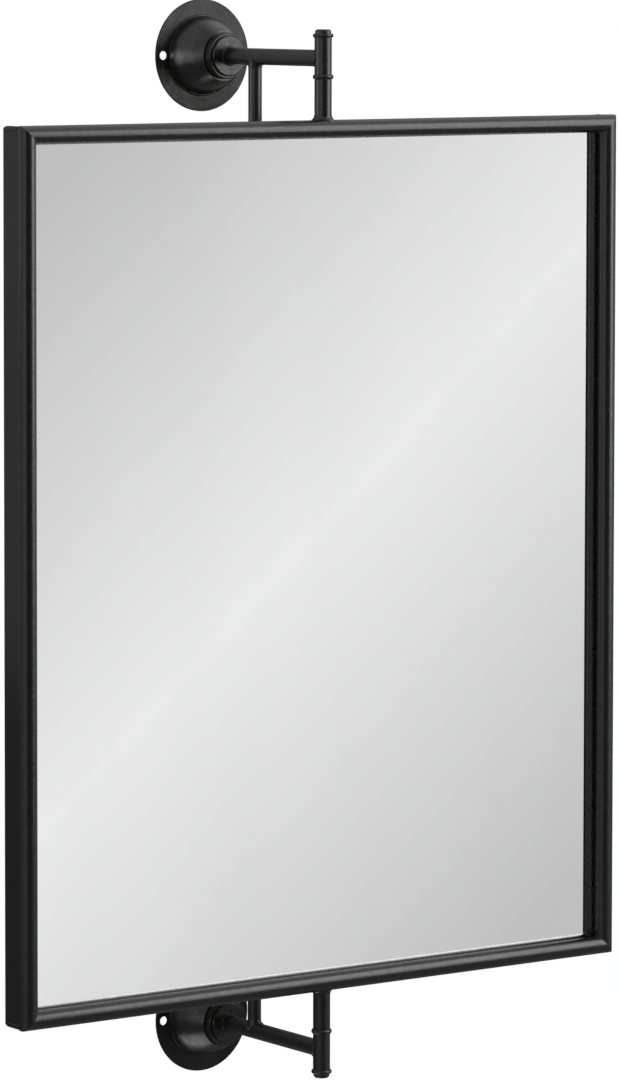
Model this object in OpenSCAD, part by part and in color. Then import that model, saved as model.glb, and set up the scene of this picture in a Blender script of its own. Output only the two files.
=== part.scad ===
// Pivot wall mirror.
// A mirror in a black steel frame turns left and right on two upright pivots. Each pivot
// stands at the end of an arm that comes out of a round wall plate, and an upright rod
// behind the mirror ties the upper arm to the lower one.
// X runs along the wall, Y into the wall and Z up. The wall is the plane y = 0, and the
// origin lies midway between the two wall plates. All sizes are in millimetres.

/* [Mirror frame] */
// Width of the frame over its side faces
frame_w = 635; // [450:5:800]
// Height of the frame over its top and bottom faces
frame_h = 760; // [500:5:1000]
// Outside diameter of the round tube along the front of the frame
tube_d = 16; // [12:0.5:20]
// Wall of the frame tube
tube_wall = 1.5; // [1:0.1:2.5]
// Depth of the flat band behind the centre of the frame tube
band_depth = 25.4; // [22:0.2:40]
// Thickness of the flat band
band_t = 3; // [2:0.5:4]
// Distance from the centre of the frame tube back to the front edge of the band
band_setback = 2; // [1.5:0.5:3]
// Step from the outside of the frame tube in to the outside face of the band
band_inset = 1.2; // [0.5:0.1:2]
// Rounding of the frame's four outside corners
corner_r = 2.5; // [1:0.5:5]

/* [Glass and backing] */
// Thickness of the mirror glass
glass_t = 4; // [3:0.5:6]
// Gap between the back of the frame tube and the glass
glass_gap = 0.3; // [0.2:0.1:1]
// Thickness of the backing board
board_t = 6; // [5:0.5:8]
// Gap between the edge of the glass or board and the band
edge_gap = 1.5; // [1:0.25:4]

/* [Board clips] */
// Width of a board clip along the frame
clip_w = 14; // [12:1:30]
// Thickness of the clip strip
clip_t = 1.5; // [1:0.25:2]
// Length of the clip's foot on the board, from the band
clip_foot = 16; // [14:1:24]
// Distance from the frame's outside corner to the middle of the nearest clip
clip_inset = 130; // [60:5:200]
// Distance the clip's riser stays inside the rear edge of the band
clip_recess = 1.5; // [1:0.25:3]
// Diameter of the clip screws
clip_screw_d = 3.5; // [3:0.5:4]
// Length of a clip screw under its head
clip_screw_l = 6; // [4.5:0.5:6.5]
// Diameter of a clip screw's head
clip_head_d = 7; // [6:0.5:8]
// Height of a clip screw's head
clip_head_h = 2.2; // [1.5:0.1:3]

/* [Pivots] */
// Distance from the centre of the frame tube back to the pivot axis
pivot_set = 7.5; // [6:0.5:9]
// Distance from the wall to the pivot axis
pivot_reach = 185; // [150:1:260]
// Diameter of the post on the frame
post_d = 15; // [13:0.5:18]
// Radius of the weld flare at the foot of the post
post_flare = 5; // [2:0.5:5]
// Distance from the frame to the middle of the joint ring
ring_pos = 37; // [30:1:60]
// Height of the joint ring
ring_h = 4; // [3:0.5:6]
// Outside diameter of the joint ring and the end ring
ring_d = 18; // [17:0.5:24]
// Gap between the post and the joint ring
ring_gap = 0.2; // [0.1:0.05:0.5]
// Outside diameter of the barrel
barrel_d = 15; // [14.5:0.5:17]
// Bore of the barrel
barrel_bore = 11; // [10:0.5:12]
// Length of the barrel
barrel_len = 32; // [30:1:60]
// Height of the end ring
end_ring_h = 3.3; // [2.5:0.1:5]
// Diameter of the cap's head
cap_d = 14; // [12.5:0.5:15]
// Height of the cap's head
cap_h = 3.7; // [3:0.1:8]
// Width of the bevel round the cap's head
cap_bevel = 1.4; // [0.5:0.1:2]
// Depth of the cap's plug in the barrel, past the end ring
cap_seat = 3.5; // [2:0.1:6]
// Gap between the cap's plug and the pin's head
cap_room = 1.2; // [0.5:0.1:3]
// Diameter of the pivot pin
pin_d = 8; // [6:0.5:8.5]
// Depth of the pivot pin in the post
pin_depth = 25; // [15:1:27]
// Height of the pivot pin's head
pin_head_h = 3; // [2:0.5:3.5]
// Size across the flats of the socket in the pin's head
pin_socket = 4; // [3:0.5:5]

/* [Arms] */
// Distance from the joint ring's end of the barrel to the arm's axis
arm_rise = 14; // [12:1:20]
// Outside diameter of the arm
arm_d = 14.5; // [12:0.5:14.5]
// Wall of the arm tube
arm_wall = 1.75; // [1.25:0.25:2]
// Length of the threaded plug in the arm's wall end
plug_l = 20; // [14:1:40]
// Diameter of the screw that holds the arm to its wall plate
arm_screw_d = 8; // [6:0.5:8]
// Length of the arm screw under its head
arm_screw_l = 22; // [15:1:23]
// Size across the flats of the arm screw's head
arm_head_af = 13; // [12:0.5:16]
// Height of the arm screw's head
arm_head_h = 4.5; // [3.5:0.5:7]
// Diameter of the upright rod that ties the arms together
rod_d = 12; // [6:0.5:12]
// Distance from the pivot axis back to the rod's axis
rod_back = 102; // [60:1:120]
// Height of the weld at each end of the rod
rod_weld_h = 3; // [1:0.5:6]
// Spread of the weld round the rod
rod_weld_w = 1.1; // [0.5:0.1:1.2]

/* [Wall plates] */
// Diameter of the wall plate's flange
plate_d = 100; // [90:1:130]
// Thickness of the wall plate's sheet
plate_t = 1.5; // [1:0.25:2.5]
// Width of the flange round the wall plate's dome
flange_w = 14.7; // [12:0.1:18]
// Height of the dome's rim above the wall
rim_h = 3; // [3:0.5:14]
// Height of the dome's crown above the wall
crown_h = 35.4; // [30:0.2:45]
// Diameter of the dome's crown
crown_d = 44.5; // [40:0.5:48]
// Radius of the dome's swelling side
dome_r = 110; // [40:5:400]
// Bevel round the front edge of the flange
edge_bevel = 0.5; // [0.2:0.1:0.8]
// Radius of the cove between the flange and the dome
cove_r = 1.5; // [1:0.5:4]
// Distance from the flange's edge to the middle of a screw hole
hole_edge = 8; // [6:0.5:9]
// Diameter of the wall plate's screw holes
hole_d = 8; // [4:0.5:8.5]
// Width of the crown left round the hub
crown_ledge = 1.5; // [0.25:0.25:2]
// Height of the hub's rim
hub_rim_h = 7; // [5:0.5:12]
// Width of the hub's flat rim outside its groove
hub_rim_w = 1.85; // [1.3:0.05:4]
// Height of the hub's raised face above the hub's rim
hub_face_rise = 2; // [1:0.5:4]
// Width of the groove round the hub's face
groove_w = 0.9; // [0.5:0.1:1]
// Depth of the groove round the hub's face
groove_depth = 1.2; // [0.6:0.1:3]
// Bevel along the hub's edges
hub_bevel = 1; // [0.4:0.1:1.2]
// Thickness of the hub's floor under the end of the arm
hub_floor = 3; // [2:0.5:4]

/* [Fits] */
// Room left for the weld film between welded pieces
weld_gap = 0.05; // [0.02:0.01:0.1]
// Radial room of a piece pressed or screwed into another
press_gap = 0.02; // [0.01:0.01:0.04]
// Radial room of the pivot pin in its bush
pin_fit = 0.05; // [0.02:0.01:0.09]
// Gap between the bush and the pin's head
head_gap = 0.3; // [0.2:0.1:0.5]
// Radial room of the pin in the joint ring, of its head in the barrel and of screws
free_gap = 0.3; // [0.2:0.05:0.5]

/* [Hidden] */
$fn = 72;

// Ends of the frame and of the pivot line, told apart by sign
TOP = 1;
BOTTOM = -1;
// Sides of the frame, as turns about Y from the top side
TOP_SIDE = 0;
RIGHT_SIDE = 90;
BOTTOM_SIDE = 180;
LEFT_SIDE = 270;

BLACK = [0.10, 0.10, 0.105];
SILVER = [0.78, 0.80, 0.82];
BOARD = [0.46, 0.35, 0.24];
ZINC = [0.70, 0.71, 0.72];
NYLON = [0.90, 0.88, 0.80];

// Overlap of a cutter past the face it cuts
cut = 1;
tube_r = tube_d / 2;
post_r = post_d / 2;
barrel_r = barrel_d / 2;
arm_r = arm_d / 2;

// Places front to back
pivot_y = -pivot_reach;
tube_y = pivot_y - pivot_set;
band_front_y = tube_y + band_setback;
band_rear_y = tube_y + band_depth;
glass_y = tube_y + tube_r + glass_gap;
board_y = glass_y + glass_t;
board_back_y = board_y + board_t;
clip_riser = band_rear_y - clip_recess - board_back_y;
// The mitres run inwards past the tube
mitre_run = 2 * tube_d;
// Distance from the outside of the frame in to the band's inside face
band_inside = band_inset + band_t;
// Opening between the bands, less the gap that the glass and board need
panel_w = frame_w - 2 * (band_inside + edge_gap);
panel_h = frame_h - 2 * (band_inside + edge_gap);
// Middle of the clip's screw hole, from the band
clip_hole = (clip_foot + clip_t + edge_gap) / 2;
clip_grip = clip_screw_l - clip_t;

// Heights along the pivot axis, from the frame's outside face
post_len = ring_pos - ring_h / 2 - ring_gap;
ring_base = ring_pos - ring_h / 2;
barrel_base = ring_base + ring_h;
barrel_end = barrel_base + barrel_len;
cap_base = barrel_end + end_ring_h;
arm_z = barrel_base + arm_rise;
// The bush leaves room in the barrel for the pin's head and the cap's plug
bush_len = barrel_len - cap_seat - cap_room - pin_head_h - head_gap;
pin_tip = post_len - pin_depth;
pin_head_z = barrel_base + bush_len + head_gap;
pin_head_d = barrel_bore - 2 * free_gap;
// How far the post reaches down over the curve of the tube
post_sink = 4;
// The flare ends on the band
flare_top = post_flare - band_inset;
// Step left at the edges of the post's flare
flare_lip = 0.25;
// Step left where a rounded corner of the frame begins
corner_lip = 0.1;

// Diameters of the wall plate and its hub, from the outside in
rim_d = plate_d - 2 * flange_w;
hole_pitch = plate_d - 2 * hole_edge;
hub_d = crown_d - 2 * crown_ledge;
hub_face_d = hub_d - 2 * (hub_rim_w + groove_w);

// Distances from the wall along the arm's axis
arm_start = crown_h + hub_floor;
hub_rim_end = crown_h + hub_rim_h;
hub_face_end = hub_rim_end + hub_face_rise;
crown_inside = crown_h - plate_t;
arm_len = pivot_reach - arm_start;
// Height of the arms' axes above the middle of the mirror
arm_height = frame_h / 2 + arm_z;

// Centre of the circle that the dome's side follows, from its rim and crown points
rim_pt = [rim_d / 2, rim_h];
crown_pt = [crown_d / 2, crown_h];
dome_mid = (rim_pt + crown_pt) / 2;
dome_half = norm(rim_pt - crown_pt) / 2;
dome_dir = (crown_pt - rim_pt) / norm(crown_pt - rim_pt);
dome_sag = sqrt(dome_r * dome_r - dome_half * dome_half);
dome_centre = dome_mid - dome_sag * [dome_dir[1], -dome_dir[0]];

// ---- placing ----

// A side of the frame: turned about Y so that its outside face looks up
module on_side(side) {
    rotate([0, side, 0]) children();
}

// An end of the pivot line: from the frame's outside face along the pivot axis
module on_pivot(end) {
    mirror([0, 0, end == BOTTOM ? 1 : 0])
        translate([0, pivot_y, frame_h / 2])
            children();
}

// A wall plate's axis: height above the wall along local Z
module on_wall(end) {
    on_pivot(end)
        translate([0, pivot_reach, arm_z])
            rotate([90, 0, 0])
                children();
}

// Length along a side of the frame, and distance from the middle to its outside face
function side_len(side) = side % 180 == 0 ? frame_w : frame_h;
function side_half(side) = side % 180 == 0 ? frame_h / 2 : frame_w / 2;

// ---- mirror frame ----

// Area inside the frame's rounded outside corners, for a side of this length
module rounded_outline(len, half) {
    turn_x = len / 2 - corner_r + corner_lip;
    turn_z = half - corner_r + corner_lip;
    translate([-turn_x, turn_z - mitre_run]) square([2 * turn_x, mitre_run + corner_r + cut]);
    translate([-len / 2 - cut, turn_z - mitre_run]) square([len + 2 * cut, mitre_run]);
    for (hand = [-1, 1])
        translate([hand * turn_x, turn_z]) circle(corner_r);
}

// Keeps the part of a side that lies between its two mitres and rounded corners
module mitred(len, half) {
    deep = 2 * (band_depth + tube_d);
    intersection() {
        children();
        translate([0, tube_y + deep / 2, 0])
            rotate([90, 0, 0])
                linear_extrude(deep)
                    intersection() {
                        rounded_outline(len, half);
                        polygon([
                            [-len / 2 - cut, half + cut],
                            [len / 2 + cut, half + cut],
                            [len / 2 - mitre_run, half - mitre_run],
                            [-len / 2 + mitre_run, half - mitre_run]
                        ]);
                    }
    }
}

// A round bar along a side, where the frame tube lies
module tube_bar(len, half, d) {
    translate([-len / 2 - cut, tube_y, half - tube_r])
        rotate([0, 90, 0])
            cylinder(d = d, h = len + 2 * cut);
}

// Round front tube of one side, mitred at both ends
module frame_tube(side) {
    len = side_len(side);
    half = side_half(side);
    color(BLACK)
        on_side(side)
            mitred(len, half)
                difference() {
                    tube_bar(len, half, tube_d);
                    tube_bar(len + 2 * cut, half, tube_d - 2 * tube_wall);
                }
}

// Flat band behind the tube of one side, shaped to the tube it is welded to
module frame_band(side) {
    len = side_len(side);
    half = side_half(side);
    color(BLACK)
        on_side(side)
            mitred(len - 2 * band_inset, half - band_inset)
                difference() {
                    translate([-len / 2, band_front_y, half - band_inside])
                        cube([len, band_rear_y - band_front_y, band_t]);
                    tube_bar(len + 2 * cut, half, tube_d + 2 * weld_gap);
                }
}

// ---- glass and backing ----

// A flat panel that fills the opening between the bands
module panel(front_y, t) {
    translate([-panel_w / 2, front_y, -panel_h / 2])
        cube([panel_w, t, panel_h]);
}

module mirror_glass() {
    color(SILVER) panel(glass_y, glass_t);
}

module backing_board() {
    color(BOARD)
        difference() {
            panel(board_y, board_t);
            at_clips()
                translate([0, 0, -clip_hole])
                    screw_hole(clip_screw_d + 2 * press_gap, -clip_grip, clip_grip + cut);
        }
}

// A round hole or bar along Y from y0, for the clip screws
module screw_hole(d, y0, len) {
    translate([0, y0, 0])
        rotate([-90, 0, 0])
            cylinder(d = d, h = len);
}

// Places a clip twice on each side: local Z looks out to the band's inside face at z = 0,
// and local y = 0 is the back of the board
module at_clips() {
    for (side = [TOP_SIDE, RIGHT_SIDE, BOTTOM_SIDE, LEFT_SIDE], hand = [-1, 1])
        on_side(side)
            translate([
                hand * (side_len(side) / 2 - clip_inset),
                board_back_y,
                side_half(side) - band_inside
            ])
                children();
}

// Bent strip: its riser is spot-welded to the band and its foot holds the board
module board_clips() {
    color(BLACK)
        at_clips()
            difference() {
                union() {
                    translate([-clip_w / 2, 0, -clip_foot])
                        cube([clip_w, clip_t, clip_foot]);
                    translate([-clip_w / 2, 0, -clip_t])
                        cube([clip_w, clip_riser, clip_t]);
                }
                translate([0, 0, -clip_hole])
                    screw_hole(clip_screw_d + 2 * free_gap, -cut, clip_t + 2 * cut);
            }
}

module clip_screws() {
    color(ZINC)
        at_clips()
            translate([0, 0, -clip_hole]) {
                screw_hole(clip_screw_d, -clip_grip, clip_screw_l);
                screw_hole(clip_head_d, clip_t, clip_head_h);
            }
}

// ---- pivots ----

// Room that the frame's tube and band take up below the post
module rail_room() {
    reach = post_d + 2 * post_flare;
    translate([-reach, -pivot_set, -tube_r])
        rotate([0, 90, 0])
            cylinder(r = tube_r + weld_gap, h = 2 * reach);
    translate([-reach, band_setback - pivot_set, -tube_d])
        cube([2 * reach, 2 * reach, tube_d - band_inset + weld_gap]);
}

// Post welded upright on the frame, flared at its foot and bored for the pivot pin
module post(end) {
    foot_r = post_r + post_flare;
    color(BLACK)
        on_pivot(end)
            difference() {
                rotate_extrude() {
                    translate([0, -post_sink])
                        square([post_r, post_len + post_sink]);
                    difference() {
                        translate([0, -post_sink])
                            square([foot_r, post_sink + flare_top]);
                        translate([foot_r + flare_lip, flare_top + flare_lip])
                            circle(post_flare);
                    }
                }
                rail_room();
                translate([0, 0, pin_tip - head_gap])
                    cylinder(d = pin_d + 2 * press_gap, h = pin_depth + head_gap + cut);
            }
}

// Shoulder pin: screwed into the post, turning in the barrel's bush, kept by its head
module pivot_pin(end) {
    color(ZINC)
        on_pivot(end)
            difference() {
                union() {
                    translate([0, 0, pin_tip])
                        cylinder(d = pin_d, h = pin_head_z - pin_tip);
                    translate([0, 0, pin_head_z])
                        cylinder(d = pin_head_d, h = pin_head_h);
                }
                translate([0, 0, pin_head_z + pin_head_h / 3])
                    cylinder(d = pin_socket / cos(30), h = pin_head_h, $fn = 6);
            }
}

// Ring with a rounded outside edge
module bead_ring(bore, h) {
    bead_r = 0.6 * h;
    rotate_extrude()
        intersection() {
            translate([bore / 2, 0]) square([ring_d / 2 - bore / 2 + cut, h]);
            union() {
                square([ring_d / 2 - bead_r, h]);
                translate([ring_d / 2 - bead_r, h / 2]) circle(bead_r);
            }
        }
}

module joint_ring(end) {
    color(BLACK)
        on_pivot(end)
            translate([0, 0, ring_base])
                bead_ring(pin_d + 2 * free_gap, ring_h);
}

module end_ring(end) {
    color(BLACK)
        on_pivot(end)
            translate([0, 0, barrel_end])
                bead_ring(barrel_bore, end_ring_h);
}

// Sleeve at the end of the arm, in which the pivot pin turns
module barrel(end) {
    color(BLACK)
        on_pivot(end)
            translate([0, 0, barrel_base])
                difference() {
                    cylinder(d = barrel_d, h = barrel_len);
                    translate([0, 0, -cut])
                        cylinder(d = barrel_bore, h = barrel_len + 2 * cut);
                }
}

module bush(end) {
    color(NYLON)
        on_pivot(end)
            translate([0, 0, barrel_base])
                difference() {
                    cylinder(d = barrel_bore - 2 * press_gap, h = bush_len);
                    translate([0, 0, -cut])
                        cylinder(d = pin_d + 2 * pin_fit, h = bush_len + 2 * cut);
                }
}

// Plug that closes the outer end of the barrel
module cap(end) {
    color(BLACK)
        on_pivot(end) {
            translate([0, 0, barrel_end - cap_seat])
                cylinder(d = barrel_bore - 2 * press_gap, h = cap_seat + end_ring_h);
            translate([0, 0, cap_base])
                rotate_extrude()
                    polygon([
                        [0, 0],
                        [cap_d / 2, 0],
                        [cap_d / 2, cap_h - cap_bevel],
                        [cap_d / 2 - cap_bevel, cap_h],
                        [0, cap_h]
                    ]);
        }
}

// ---- arms and rod ----

// Tube from the wall plate's hub to the barrel, coped to the barrel
module arm(end) {
    color(BLACK)
        difference() {
            on_wall(end)
                translate([0, 0, arm_start])
                    difference() {
                        cylinder(d = arm_d, h = arm_len);
                        translate([0, 0, -cut])
                            cylinder(d = arm_d - 2 * arm_wall, h = arm_len + 2 * cut);
                    }
            on_pivot(end)
                cylinder(r = barrel_r + weld_gap, h = cap_base);
        }
}

// Threaded plug fixed in the wall end of the arm
module arm_plug(end) {
    color(ZINC)
        on_wall(end)
            translate([0, 0, arm_start])
                difference() {
                    cylinder(d = arm_d - 2 * arm_wall - 2 * press_gap, h = plug_l);
                    translate([0, 0, -cut])
                        cylinder(d = arm_screw_d + 2 * press_gap, h = plug_l + 2 * cut);
                }
}

// Hexagon screw from behind the wall plate, through the hub into the arm's plug
module arm_screw(end) {
    color(ZINC)
        on_wall(end) {
            translate([0, 0, crown_inside - arm_head_h])
                cylinder(d = arm_head_af / cos(30), h = arm_head_h, $fn = 6);
            translate([0, 0, crown_inside])
                cylinder(d = arm_screw_d, h = arm_screw_l);
        }
}

// Upright rod between the arms, coped to both, with a weld at each end
module rear_rod() {
    color(BLACK)
        difference() {
            translate([0, pivot_y + rod_back, 0]) {
                translate([0, 0, -arm_height])
                    cylinder(d = rod_d, h = 2 * arm_height);
                for (end = [TOP, BOTTOM])
                    mirror([0, 0, end == BOTTOM ? 1 : 0])
                        translate([0, 0, arm_height - arm_r - rod_weld_h])
                            cylinder(
                                d1 = rod_d,
                                d2 = rod_d + 2 * rod_weld_w,
                                h = arm_r + rod_weld_h
                            );
            }
            for (end = [TOP, BOTTOM])
                on_wall(end)
                    translate([0, 0, arm_start])
                        cylinder(d = arm_d + 2 * weld_gap, h = arm_len);
        }
}

// ---- wall plates ----

// Outline of the dome from the wall up, as the sheet's outer (inset 0) or inner side
module dome_outline(inset) {
    intersection() {
        translate([0, -cut]) square([rim_d / 2 - inset, crown_h - inset + cut]);
        union() {
            translate(dome_centre) circle(dome_r - inset, $fn = 360);
            translate([0, -cut]) square([rim_d / 2, rim_h + cut]);
        }
    }
}

// Section of the spun sheet: flat flange, cove, upright rim and swelling dome
module plate_section() {
    flange_r = plate_d / 2;
    difference() {
        union() {
            polygon([
                [0, 0],
                [flange_r, 0],
                [flange_r, plate_t - edge_bevel],
                [flange_r - edge_bevel, plate_t],
                [0, plate_t]
            ]);
            intersection() {
                dome_outline(0);
                square([plate_d, crown_h]);
            }
            difference() {
                square([rim_d / 2 + cove_r, plate_t + cove_r]);
                translate([rim_d / 2 + cove_r + flare_lip, plate_t + cove_r + flare_lip])
                    circle(cove_r);
            }
        }
        dome_outline(plate_t);
    }
}

// Round wall plate with two screw holes, and a hole in its crown for the arm screw
module wall_plate(end) {
    color(BLACK)
        on_wall(end)
            difference() {
                rotate_extrude() plate_section();
                for (hand = [-1, 1])
                    translate([hand * hole_pitch / 2, 0, -cut])
                        cylinder(d = hole_d, h = plate_t + 2 * cut);
                translate([0, 0, crown_inside - cut])
                    cylinder(d = arm_screw_d + 2 * free_gap, h = plate_t + 2 * cut);
            }
}

// Turned hub on the crown: beveled rim, groove and raised face with the arm's socket
module hub(end) {
    r = hub_d / 2;
    face_r = hub_face_d / 2;
    socket_r = arm_r + press_gap;
    screw_r = arm_screw_d / 2 + free_gap;
    color(BLACK)
        on_wall(end)
            rotate_extrude()
                polygon([
                    [screw_r, crown_h],
                    [r, crown_h],
                    [r, hub_rim_end - hub_bevel],
                    [r - hub_bevel, hub_rim_end],
                    [face_r + groove_w, hub_rim_end],
                    [face_r + groove_w, hub_rim_end - groove_depth],
                    [face_r, hub_rim_end - groove_depth],
                    [face_r, hub_face_end - hub_bevel],
                    [face_r - hub_bevel, hub_face_end],
                    [socket_r, hub_face_end],
                    [socket_r, arm_start],
                    [screw_r, arm_start]
                ]);
}

frame_tube(TOP_SIDE);  // top_rail_tube
frame_tube(BOTTOM_SIDE);  // bottom_rail_tube
frame_tube(LEFT_SIDE);  // left_stile_tube
frame_tube(RIGHT_SIDE);  // right_stile_tube
frame_band(TOP_SIDE);  // top_rail_band
frame_band(BOTTOM_SIDE);  // bottom_rail_band
frame_band(LEFT_SIDE);  // left_stile_band
frame_band(RIGHT_SIDE);  // right_stile_band
mirror_glass();
backing_board();
board_clips();
clip_screws();
post(TOP);  // top_post
post(BOTTOM);  // bottom_post
pivot_pin(TOP);  // top_pivot_pin
pivot_pin(BOTTOM);  // bottom_pivot_pin
joint_ring(TOP);  // top_joint_ring
joint_ring(BOTTOM);  // bottom_joint_ring
barrel(TOP);  // top_barrel
barrel(BOTTOM);  // bottom_barrel
bush(TOP);  // top_bush
bush(BOTTOM);  // bottom_bush
end_ring(TOP);  // top_end_ring
end_ring(BOTTOM);  // bottom_end_ring
cap(TOP);  // top_cap
cap(BOTTOM);  // bottom_cap
arm(TOP);  // top_arm
arm(BOTTOM);  // bottom_arm
arm_plug(TOP);  // top_arm_plug
arm_plug(BOTTOM);  // bottom_arm_plug
arm_screw(TOP);  // top_arm_screw
arm_screw(BOTTOM);  // bottom_arm_screw
hub(TOP);  // top_hub
hub(BOTTOM);  // bottom_hub
wall_plate(TOP);  // top_wall_plate
wall_plate(BOTTOM);  // bottom_wall_plate
rear_rod();
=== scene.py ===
"""Looks of the pivot wall mirror: paint, welds, glass, hardware, floor, light and camera.

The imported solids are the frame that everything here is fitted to. X runs along the wall, Y into
the wall and Z up, in metres. The wall is the plane y = 0, and z = 0 is midway between the two
wall plates.
"""

from __future__ import annotations

import logging
import math
from dataclasses import dataclass, replace
from enum import Enum
from functools import cached_property
from typing import Callable, Iterable, Sequence

import bmesh
import bpy
from mathutils import Matrix, Vector

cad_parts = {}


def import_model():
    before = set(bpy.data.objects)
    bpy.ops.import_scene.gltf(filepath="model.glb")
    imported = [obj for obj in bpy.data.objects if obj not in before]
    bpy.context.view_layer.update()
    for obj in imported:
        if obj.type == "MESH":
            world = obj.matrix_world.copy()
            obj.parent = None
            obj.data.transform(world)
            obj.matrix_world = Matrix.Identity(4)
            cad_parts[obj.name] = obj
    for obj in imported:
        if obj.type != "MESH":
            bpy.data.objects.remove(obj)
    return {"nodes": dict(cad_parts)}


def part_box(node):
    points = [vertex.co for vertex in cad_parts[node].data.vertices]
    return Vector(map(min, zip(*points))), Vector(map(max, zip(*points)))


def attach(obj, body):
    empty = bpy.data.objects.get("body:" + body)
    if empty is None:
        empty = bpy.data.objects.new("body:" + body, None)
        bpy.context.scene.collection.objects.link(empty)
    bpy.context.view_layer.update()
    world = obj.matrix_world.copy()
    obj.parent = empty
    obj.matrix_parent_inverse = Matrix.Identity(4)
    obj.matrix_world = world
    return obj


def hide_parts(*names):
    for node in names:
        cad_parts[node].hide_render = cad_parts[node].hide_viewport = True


LOG = logging.getLogger("pivot_mirror")
MM = 0.001

NOISE_CORE = (0.3, 0.7)  # where most of a noise's values lie
SAME_PLACE = 1e-6  # metres within which two vertices are one
WHITE = (1.0, 1.0, 1.0, 1.0)
BLACK = (0.0, 0.0, 0.0, 1.0)

Socket = bpy.types.NodeSocket
Node = bpy.types.Node
Piece = bpy.types.Object
Material = bpy.types.Material
Mesh = bpy.types.Mesh
Colour = tuple[float, float, float]
Place = tuple[float, float, float]
Range = tuple[float, float]
Patch = tuple[Range, Range, float]
Inputs = dict[str | int, object]
Path = list[Vector]


class Body(Enum):
    """The two bodies that the pivots join."""

    BRACKET = "wall_bracket"
    MIRROR = "mirror"


class Slot(Enum):
    """Names of material slots for the made pieces; nothing here reads them."""

    FRAME_PAINT = "frame_paint"
    BRACKET_PAINT = "bracket_paint"
    ZINC_STEEL = "zinc_steel"


class End(Enum):
    """The upper and the lower end of the pivot line, as the sign of Z."""

    TOP = 1
    BOTTOM = -1

    @property
    def prefix(self) -> str:
        """The start of the names of this end's nodes."""
        return self.name.lower() + "_"


# ---- shader helpers ----


class Shader:
    """A node tree, with short calls for the nodes that the finishes, the world and the welds use."""

    GLASS_DEPTH = 2.5  # above the Ray Depth of a ray that the flat glass has turned once

    def __init__(self, tree: bpy.types.NodeTree) -> None:
        """Keeps the tree that the nodes are added to."""
        self.tree = tree

    def node(self, kind: str, inputs: Inputs | None = None, **settings: object) -> Node:
        """Adds one node.

        Args:
            kind: Blender's name of the node type.
            inputs: Values or sockets for the node's inputs, by name or place.
            **settings: Properties of the node.

        Returns:
            The new node.
        """
        made = self.tree.nodes.new(kind)
        for name, value in settings.items():
            setattr(made, name, value)
        self.feed(made, inputs or {})
        return made

    def out(self, kind: str, inputs: Inputs | None = None, **settings: object) -> Socket:
        """Adds one node and gives its first output; see node."""
        return self.node(kind, inputs, **settings).outputs[0]

    def feed(self, node: Node, inputs: Inputs) -> None:
        """Links sockets to a node's inputs, and sets those that are given as values.

        Args:
            node: The node.
            inputs: Values or sockets for its inputs, by name or place.
        """
        for key, value in inputs.items():
            if isinstance(value, Socket):
                self.tree.links.new(value, node.inputs[key])
            else:
                node.inputs[key].default_value = value

    def math(self, operation: str, *values: object, clamp: bool = False) -> Socket:
        """One Math node's result."""
        return self.out("ShaderNodeMath", dict(enumerate(values)), operation=operation, use_clamp=clamp)

    def scaled(self, vector: Socket, factor: Socket | float) -> Socket:
        """A vector times a number."""
        inputs = {0: vector, "Scale": factor}
        return self.out("ShaderNodeVectorMath", inputs, operation="SCALE")

    def vector_math(self, operation: str, *values: object) -> Node:
        """One Vector Math node."""
        return self.node("ShaderNodeVectorMath", dict(enumerate(values)), operation=operation)

    def noise(self, vector: Socket, scale: float, detail: float = 2.0, roughness: float = 0.5) -> Socket:
        """Noise at a place, about 0.5 on average; the scale is in features per metre."""
        inputs = {"Vector": vector, "Scale": scale, "Detail": detail, "Roughness": roughness}
        return self.node("ShaderNodeTexNoise", inputs).outputs["Fac"]

    def spread(self, value: Socket, source: Range, target: Range, smooth: bool = False) -> Socket:
        """Maps one range to another and keeps the result inside it.

        Args:
            value: What is mapped.
            source: Its range.
            target: The new range.
            smooth: Whether the ends ease in and out.

        Returns:
            The mapped value.
        """
        inputs = {0: value, 1: source[0], 2: source[1], 3: target[0], 4: target[1]}
        kind = "SMOOTHSTEP" if smooth else "LINEAR"
        return self.out("ShaderNodeMapRange", inputs, interpolation_type=kind)

    def mix(self, factor: Socket, a: Colour, b: Colour) -> Socket:
        """A colour between two colours."""
        inputs = {"Factor": factor, "A": (*a, 1.0), "B": (*b, 1.0)}
        return self.node("ShaderNodeMix", inputs, data_type="RGBA").outputs["Result"]

    def choose(self, factor: Socket, off: object, on: object) -> Socket:
        """One of two values, by a factor of 0 or 1."""
        inputs = {"Factor": factor, "A": off, "B": on}
        return self.node("ShaderNodeMix", inputs, data_type="FLOAT").outputs["Result"]

    @cached_property
    def rays(self) -> bpy.types.NodeOutputs:
        """What tells one kind of ray from another."""
        return self.node("ShaderNodeLightPath").outputs

    def seen(self) -> Socket:
        """1 for a ray from the camera that nothing has turned, else 0."""
        return self.math("ADD", self.rays["Is Camera Ray"], self.rays["Is Transmission Ray"], clamp=True)

    def flat_glass(self) -> Socket:
        """1 for a ray from the camera by way of the flat glass alone, else 0."""
        once = self.math("LESS_THAN", self.rays["Ray Depth"], self.GLASS_DEPTH)
        return self.math("MULTIPLY", self.rays["Is Singular Ray"], once)

    def bump(self, height: Socket, distance: float, below: Socket | None = None) -> Socket:
        """A normal bumped by a height from 0 to 1, which spans the distance in metres."""
        inputs = {"Height": height, "Distance": distance} | ({} if below is None else {"Normal": below})
        return self.node("ShaderNodeBump", inputs).outputs["Normal"]


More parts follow.
